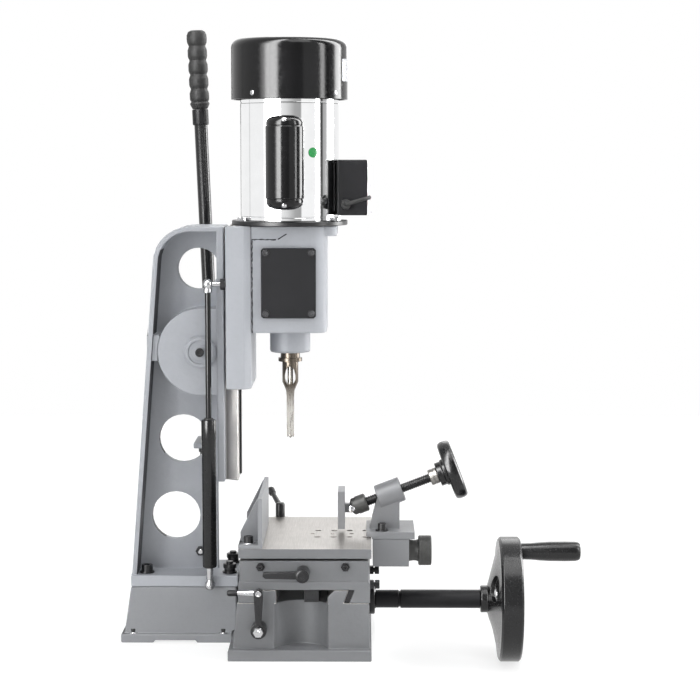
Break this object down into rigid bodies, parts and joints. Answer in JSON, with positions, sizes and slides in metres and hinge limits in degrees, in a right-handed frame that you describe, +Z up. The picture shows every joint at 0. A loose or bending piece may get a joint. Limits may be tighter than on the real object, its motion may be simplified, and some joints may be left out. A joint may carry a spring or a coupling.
{
  "type": "bench hollow chisel mortiser",
  "caption": "Bench hollow-chisel mortising machine: column and motor head on dovetail ways, feed lever, gas strut, cross table with fence, screw clamp and handwheel.",
  "frame": {"origin": "point on the bench plane straight below the chisel axis, on the underside of the bed casting", "axes": "+X towards the operator's side, where the handwheels are; +Y the operator's right; +Z up along the chisel axis"},
  "size_m": [0.6568, 0.349, 0.9131],
  "materials": {
    "grey_paint": "satin paint over rough castings",
    "ground_steel": "ground",
    "core_steel": "dull",
    "chrome": "polished",
    "black_steel": "black oxide",
    "dark_grey_steel": "satin",
    "dark_grey_plastic": "satin",
    "black_plastic": "satin",
    "gloss_black": "gloss enamel",
    "black_rubber": "matt",
    "aluminium": "brushed",
    "green_plastic": "gloss",
    "red_plastic": "gloss"
  },
  "bodies": {
    "frame": {"base_casting": "grey_paint", "bed_casting": "grey_paint", "column_casting": "grey_paint", "column_bolt_1": "black_steel", "column_bolt_2": "black_steel", "column_bolt_3": "black_steel", "column_bolt_4": "black_steel", "way_strip": "black_steel", "pinion_end_cap": "grey_paint", "strut_tube": "black_steel", "strut_lower_end": "chrome", "shaft_flange": "black_steel"},
    "head": {"head_casting": "grey_paint", "head_gib": "ground_steel", "feed_rack": "ground_steel", "access_cover_near": "black_plastic", "access_cover_far": "black_plastic", "mortise_chisel": "ground_steel", "motor_flange": "black_steel", "motor_body": "chrome", "stator": "core_steel", "fan_cover": "gloss_black", "capacitor_cover": "gloss_black", "switch_box": "black_plastic", "switch_cover": "aluminium", "switch_lead": "black_rubber", "strut_rod": "chrome", "strut_upper_end": "chrome", "depth_stop_rod": "ground_steel", "depth_stop_nut": "black_steel"},
    "spindle": {"rotor_shaft": "core_steel", "cooling_fan": "black_plastic", "drill_chuck": "ground_steel", "auger_bit": "ground_steel"},
    "start_switch": {"start_button": "green_plastic"},
    "stop_switch": {"stop_button": "red_plastic"},
    "feed": {"feed_shaft": "ground_steel", "feed_pinion": "ground_steel", "feed_lever": "black_steel", "lever_grip": "black_rubber"},
    "saddle": {"saddle_casting": "grey_paint", "saddle_gib": "ground_steel", "traverse_rack": "ground_steel"},
    "table": {"table_plate": "ground_steel", "work_fence": "grey_paint", "clamp_bracket": "grey_paint", "clamp_block": "grey_paint"},
    "cross_knob": {"cross_feed_knob": "dark_grey_plastic"},
    "swivel": {"clamp_swivel": "dark_grey_steel"},
    "pad": {"clamp_pad": "grey_paint"},
    "screw": {"clamp_screw": "black_steel", "clamp_handwheel": "black_plastic"},
    "wheel": {"traverse_shaft": "black_steel", "traverse_pinion": "ground_steel", "traverse_handwheel": "black_plastic"},
    "crank": {"handle_grip": "black_plastic"},
    "cross_lock": {"cross_lock_lever": "black_steel"},
    "traverse_lock": {"traverse_lock_lever": "black_steel", "traverse_lock_handle": "chrome"},
    "far_clamp": {"far_clamp_lever": "chrome"}
  },
  "joints": [
    {"name": "head_feed", "type": "slide", "parent": "frame", "child": "head", "axis": [0, 0, -1], "range_m": [0, 0.1], "stiffness_N_per_m": 500, "springref_m": -0.85},
    {"name": "feed_lever_turn", "type": "hinge", "parent": "frame", "child": "feed", "pos_m": [-0.125, 0, 0.413], "axis": [0, 1, 0], "range_deg": [0, 119.4]},
    {"name": "spindle_spin", "type": "hinge", "parent": "head", "child": "spindle", "pos_m": [0, 0, 0.5], "axis": [0, 0, 1], "continuous": true},
    {"name": "start_press", "type": "slide", "parent": "head", "child": "start_switch", "axis": [-1, 0, 0], "range_m": [0, 0.0025], "stiffness_N_per_m": 600, "springref_m": -0.001},
    {"name": "stop_press", "type": "slide", "parent": "head", "child": "stop_switch", "axis": [-1, 0, 0], "range_m": [0, 0.0025], "stiffness_N_per_m": 600, "springref_m": -0.001},
    {"name": "table_traverse", "type": "slide", "parent": "frame", "child": "saddle", "axis": [0, 1, 0], "range_m": [0, 0.12]},
    {"name": "handwheel_turn", "type": "hinge", "parent": "frame", "child": "wheel", "pos_m": [0.2, 0, 0.0493], "axis": [1, 0, 0], "range_deg": [-211.6, 0]},
    {"name": "crank_spin", "type": "hinge", "parent": "wheel", "child": "crank", "pos_m": [0.375, 0, 0.1193], "axis": [1, 0, 0], "continuous": true},
    {"name": "cross_feed_turn", "type": "hinge", "parent": "table", "child": "cross_knob", "pos_m": [0.185, -0.038, 0.1287], "axis": [1, 0, 0], "range_deg": [0, 3000.1]},
    {"name": "table_cross", "type": "slide", "parent": "saddle", "child": "table", "axis": [1, 0, 0], "range_m": [0, 0.025]},
    {"name": "clamp_advance", "type": "slide", "parent": "table", "child": "swivel", "axis": [-0.9336, 0, -0.3584], "range_m": [-0.006, 0.014]},
    {"name": "clamp_screw_turn", "type": "hinge", "parent": "swivel", "child": "screw", "pos_m": [0.0877, -0.038, 0.1903], "axis": [-0.9336, 0, -0.3584], "range_deg": [-540.1, 1260.1]},
    {"name": "clamp_pad_tilt", "type": "hinge", "parent": "swivel", "child": "pad", "pos_m": [0.0877, -0.038, 0.1903], "axis": [0, 1, 0], "range_deg": [-12, 12]},
    {"name": "cross_lock_turn", "type": "hinge", "parent": "saddle", "child": "cross_lock", "pos_m": [0.0224, -0.17, 0.1227], "axis": [0, 1, 0], "range_deg": [0, 60]},
    {"name": "traverse_lock_turn", "type": "hinge", "parent": "frame", "child": "traverse_lock", "pos_m": [-0.0376, -0.17, 0.0448], "axis": [0, 1, 0], "range_deg": [-45, 45]},
    {"name": "far_clamp_turn", "type": "hinge", "parent": "table", "child": "far_clamp", "pos_m": [-0.019, 0.088, 0.16], "axis": [0, 0, 1], "range_deg": [-60, 60]}
  ],
  "couplings": [
    {"joint": "feed_lever_turn", "follows": "head_feed", "rad_per_m": 20.833},
    {"joint": "handwheel_turn", "follows": "table_traverse", "rad_per_m": -30.769},
    {"joint": "cross_feed_turn", "follows": "table_cross", "rad_per_m": 2094.4},
    {"joint": "clamp_screw_turn", "follows": "clamp_advance", "rad_per_m": 1570.8}
  ]
}
